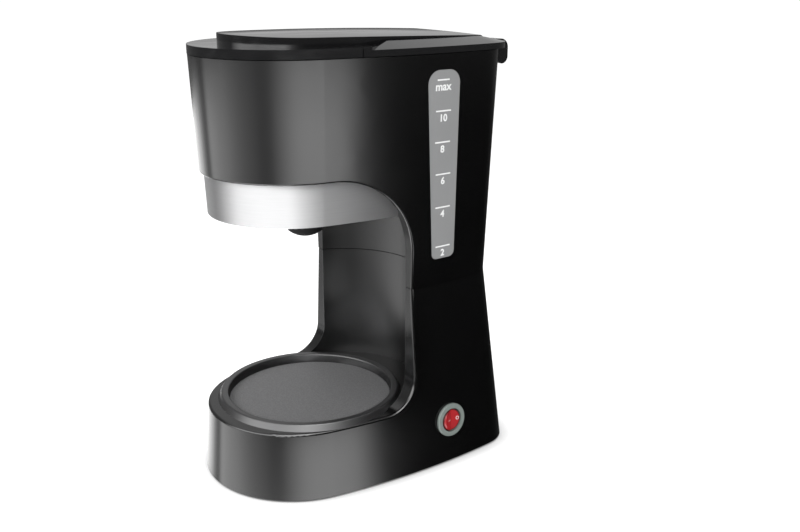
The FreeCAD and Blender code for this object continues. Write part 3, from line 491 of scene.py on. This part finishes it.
def side_wall(y, z):
    """x of the upper housing's right wall: a long arc in plan, drawn in towards the waist."""
    rise = (z - WAIST_Z) / (TOP_Z - WAIST_Z)
    inset = WAIST_INSET + (TOP_INSET - WAIST_INSET) * rise
    radius = SIDE_RADIUS - inset
    return HALF_WIDTH - SIDE_RADIUS + np.sqrt(radius**2 - (y - SIDE_CENTRE_Y) ** 2)


def letters(words, size, thick, bold):
    """Corners and faces of words as flat raised letters, centred on the origin in u, standing on v = 0."""
    curve = bpy.data.curves.new("letters", "FONT")
    curve.body = words
    curve.size = size
    curve.offset = bold
    curve.align_x = "CENTER"
    curve.extrude = thick / 2
    curve.resolution_u = LETTER_STEPS
    carrier = bpy.data.objects.new("letters", curve)
    mesh = bpy.data.meshes.new_from_object(carrier)
    corners = np.empty(len(mesh.vertices) * 3)
    mesh.vertices.foreach_get("co", corners)
    faces = [tuple(f.vertices) for f in mesh.polygons]
    bpy.data.objects.remove(carrier)
    bpy.data.curves.remove(curve)
    bpy.data.meshes.remove(mesh)
    return corners.reshape(-1, 3), faces


def mark_number(words, size, middle, z):
    """Number or word under its bar: the letters' corners are set on the wall, each lifted by its height."""
    corners, faces = letters(words, size, MARK_THICK, MARK_BOLD)
    y = middle + corners[:, 0]
    up = z - MARK_DROP + corners[:, 1]
    out = side_wall(y, up) + corners[:, 2] + MARK_THICK / 2
    spots = np.stack([out, y, up], axis=1)
    piece("mark_number_" + words, spots, faces, "print_white", "housing")


def mark_bar(words, half, middle, z):
    """Thin raised bar: an oblong section carried along the wall's arc."""
    section_up = z + np.array([-1, 1, 1, -1]) * BAR_HALF_HIGH
    section_out = np.array([0, 0, 1, 1]) * MARK_THICK
    sides = len(section_up)
    y = np.repeat(middle + np.linspace(-half, half, BAR_STEPS), sides)
    up = np.tile(section_up, BAR_STEPS)
    out = side_wall(y, up) + np.tile(section_out, BAR_STEPS)
    spots = np.stack([out, y, up], axis=1)
    faces = tube_faces(BAR_STEPS, sides)
    piece("mark_bar_" + words, spots, faces, "print_white", "housing")


def window_marks():
    """Cup marks: a short bar with its number under it, laid on the window's curved face."""
    for words, z, behind in MARKS:
        middle = behind + BREW_Y
        is_number = words.isdigit()
        mark_number(words, NUMBER_SIZE if is_number else WORD_SIZE, middle, z)
        mark_bar(words, BAR_HALF if is_number else WORD_BAR_HALF, middle, z)


def rocker_signs():
    """Off and on signs, each laid on one flat of the rocker's valley and turned with the rocker at rest."""
    pivot = joint("rocker_tilt")
    upward = -np.array(pivot["axis"])
    along = np.cross(upward, (0, 0, 1.0))
    along /= np.linalg.norm(along)
    outward = np.cross(along, upward)
    c, d = math.cos(ROCKER_THROW), math.sin(ROCKER_THROW)
    for words, place, turn in ROCKER_SIGNS:
        corners, faces = letters(words, SIGN_SIZE, MARK_THICK, 0.0)
        flat = corners[:, :2] - (corners[:, :2].min(axis=0) + corners[:, :2].max(axis=0)) / 2
        u = flat[:, 0] * math.cos(turn) - flat[:, 1] * math.sin(turn)
        v = flat[:, 0] * math.sin(turn) + flat[:, 1] * math.cos(turn)
        slope = math.atan(VALLEY_SLOPE) * np.sign(place)
        lift = corners[:, 2] + MARK_THICK / 2
        x = VALLEY_DEPTH + VALLEY_SLOPE * abs(place) + u * math.sin(slope) + lift * math.cos(slope)
        y = place + u * math.cos(slope) - lift * math.sin(slope)
        spots = np.outer(x * c - y * d, outward) + np.outer(x * d + y * c, along) + np.outer(v, upward)
        spots += np.array(pivot["pos_m"])
        piece("rocker_sign_" + words, spots, faces, "print_white", "rocker")


def drip_spring():
    """Closed-end compression coil: a wire circle carried along a helix that flattens at both ends."""
    low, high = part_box("valve_spring")
    tall = high[2] - low[2]
    t = np.linspace(0.0, 1.0, SPRING_STEPS * SPRING_TURNS + 1)
    ease = np.clip((t - SPRING_FLAT) / (1 - 2 * SPRING_FLAT), 0.0, 1.0)
    share = SPRING_CREEP * t + (1 - SPRING_CREEP) * ease
    climb = low[2] + SPRING_WIRE + (tall - 2 * SPRING_WIRE) * share
    around = -np.linspace(0, 2 * np.pi, WIRE_SIDES, endpoint=False)
    a, b = np.meshgrid(2 * np.pi * SPRING_TURNS * t, around, indexing="ij")
    reach = SPRING_MEAN + SPRING_WIRE * np.cos(b)
    x = reach * np.cos(a)
    y = BREW_Y + reach * np.sin(a)
    z = climb[:, None] + SPRING_WIRE * np.sin(b)
    corners = np.stack([x, y, z], axis=-1).reshape(-1, 3)
    faces = tube_faces(len(t), WIRE_SIDES)
    coil = piece("drip_spring", corners, faces, "steel", "housing", smooth=True)
    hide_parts("valve_spring")
    lift = joint("drip_stop_lift")["range_m"][1]
    1 - lift / tall
    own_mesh(coil)


def seen_directly(p):
    """1 for rays from the camera, from a mirror or through glass, and 0 for light that falls on a surface."""
    camera_ray = p.add("ShaderNodeLightPath", out="Is Camera Ray")
    glossy = p.add("ShaderNodeLightPath", out="Is Glossy Ray")
    through = p.add("ShaderNodeLightPath", out="Is Transmission Ray")
    return camera_ray.greater(glossy).greater(through)


def floor():
    """White floor: it keeps the object's shadow, with a painted contact shadow in its colour and glow that is
    deepest close to it, and stays white to the eye far out.
    """
    p = Paint("floor")
    shown = seen_directly(p)
    # Painted shadow: ambient occlusion darkens the floor's colour and glow close to the machine.
    painted_contact_shadow = p.add("ShaderNodeAmbientOcclusion", {"samples": 8}, {"Distance": CONTACT_REACH}, out="AO")
    shade = p.blend(painted_contact_shadow, CONTACT_SHADE, FLOOR_SHADE)
    white = p.add("ShaderNodeBsdfDiffuse", {}, {"Color": shade})
    glow = p.add("ShaderNodeEmission", {}, {"Color": (1, 1, 1, 1), "Strength": shown * painted_contact_shadow * FLOOR_GLOW})
    surface = p.finish(p.add("ShaderNodeAddShader", {}, {0: white, 1: glow}))
    square = FLOOR_REACH * np.array([(-1, -1, 0), (1, -1, 0), (1, 1, 0), (-1, 1, 0)])
    stage_piece("floor", square, [(0, 1, 2, 3)], surface).visible_glossy = False


def world():
    """Even white surround, lower as light than as background."""
    made = bpy.data.worlds.new("studio")
    bpy.context.scene.world = made
    p = Paint("studio", made)
    strength = WORLD_LIGHT + (1.0 - WORLD_LIGHT) * seen_directly(p)
    surround = p.add("ShaderNodeBackground", {}, {"Color": (1, 1, 1, 1), "Strength": strength})
    p.finish(surround, "ShaderNodeOutputWorld")


def toward(azimuth, elevation):
    """Unit vector to an azimuth, 0 in front and 90 degrees on the right, and an elevation, in radians."""
    level = np.cos(elevation)
    return np.stack([np.sin(azimuth) * level, -np.cos(azimuth) * level, np.sin(elevation)], axis=-1)


def for_mirrors_only(made):
    """Hide a studio piece from all but reflections."""
    made.visible_camera = False
    made.visible_diffuse = False
    made.visible_transmission = False
    made.visible_shadow = False


def drum():
    """Far reflector that only mirrors see: a globe whose brightness goes by azimuth and elevation."""
    azimuth = np.arange(-180.0, 181.0, DRUM_STEP)
    up = np.radians([elevation for elevation, glow, share in DRUM_RINGS])
    level = np.array([share * np.interp(azimuth, *zip(*glow)) for elevation, glow, share in DRUM_RINGS])
    e, a = np.meshgrid(up, np.radians(azimuth), indexing="ij")
    corners = DRUM_RADIUS * toward(a, e).reshape(-1, 3)
    p = Paint("drum")
    glow = p.add("ShaderNodeAttribute", {"attribute_name": "glow"}, out="Color")
    surface = p.finish(p.add("ShaderNodeEmission", {}, {"Color": glow}))
    made = stage_piece("drum", corners, grid_faces(len(up), len(azimuth)), surface)
    shade = made.data.color_attributes.new("glow", "FLOAT_COLOR", "POINT")
    shade.data.foreach_set("color", np.repeat(level.ravel(), 4))
    for_mirrors_only(made)


def card():
    """Dark upright strip that only mirrors see, bent round the open side of the bay against glare."""
    a, z = np.meshgrid(np.radians(np.linspace(CARD_FROM, CARD_TO, CARD_STEPS)), [CARD_LOW, CARD_HIGH])
    x = CARD_RADIUS * np.sin(a)
    y = BREW_Y - CARD_RADIUS * np.cos(a)
    corners = np.stack([x, y, z], axis=-1).reshape(-1, 3)
    surface = Paint("card").coat(Base_Color=(0.002, 0.002, 0.002, 1), Roughness=1.0)
    for_mirrors_only(stage_piece("card", corners, grid_faces(2, CARD_STEPS), surface))


def keep_hotplate_out_of_mirrors():
    """Let reflections pass the hotplate and its ring, which the bay's upright wall would mirror."""
    for node in ("hotplate", "hotplate_ring"):
        NODES[node].visible_glossy = False


def face_at(made, spot, way):
    """Stand an object at spot with its -Z along way and its X level."""
    right = np.cross(way, (0, 0, 1.0))
    right /= np.linalg.norm(right)
    up = np.cross(right, way)
    made.matrix_world = Matrix([[right[i], up[i], -way[i], spot[i]] for i in range(3)] + [[0, 0, 0, 1]])


def lamp(name, azimuth, elevation, distance, width, height, power):
    """Soft rectangular lamp, aimed at the machine's middle; its angles are in degrees."""
    data = bpy.data.lights.new(name, "AREA")
    data.shape = "RECTANGLE"
    data.size = width
    data.size_y = height
    data.energy = power
    made = bpy.data.objects.new(name, data)
    way = toward(math.radians(azimuth), math.radians(elevation))
    face_at(made, np.array(LAMP_AIM) + distance * way, -way)
    bpy.context.scene.collection.objects.link(made)
    made.visible_glossy = False


def camera():
    """Camera at the photograph's viewpoint."""
    data = bpy.data.cameras.new("camera")
    data.sensor_width = SENSOR_WIDTH
    data.lens = FOCAL_PIXELS * SENSOR_WIDTH / IMAGE_WIDTH
    made = bpy.data.objects.new("camera", data)
    face_at(made, np.array(CAMERA_SPOT), -toward(CAMERA_AZIMUTH, CAMERA_PITCH))
    bpy.context.scene.collection.objects.link(made)
    bpy.context.scene.camera = made


dress_solids()
window_marks()
rocker_signs()
drip_spring()
floor()
world()
drum()
card()
keep_hotplate_out_of_mirrors()
lamp("key", azimuth=62, elevation=24, distance=1.3, width=1.0, height=1.0, power=10)
lamp("fill", azimuth=-15, elevation=42, distance=1.3, width=0.8, height=0.8, power=12)
camera()
bpy.context.scene.view_settings.view_transform = "Standard"
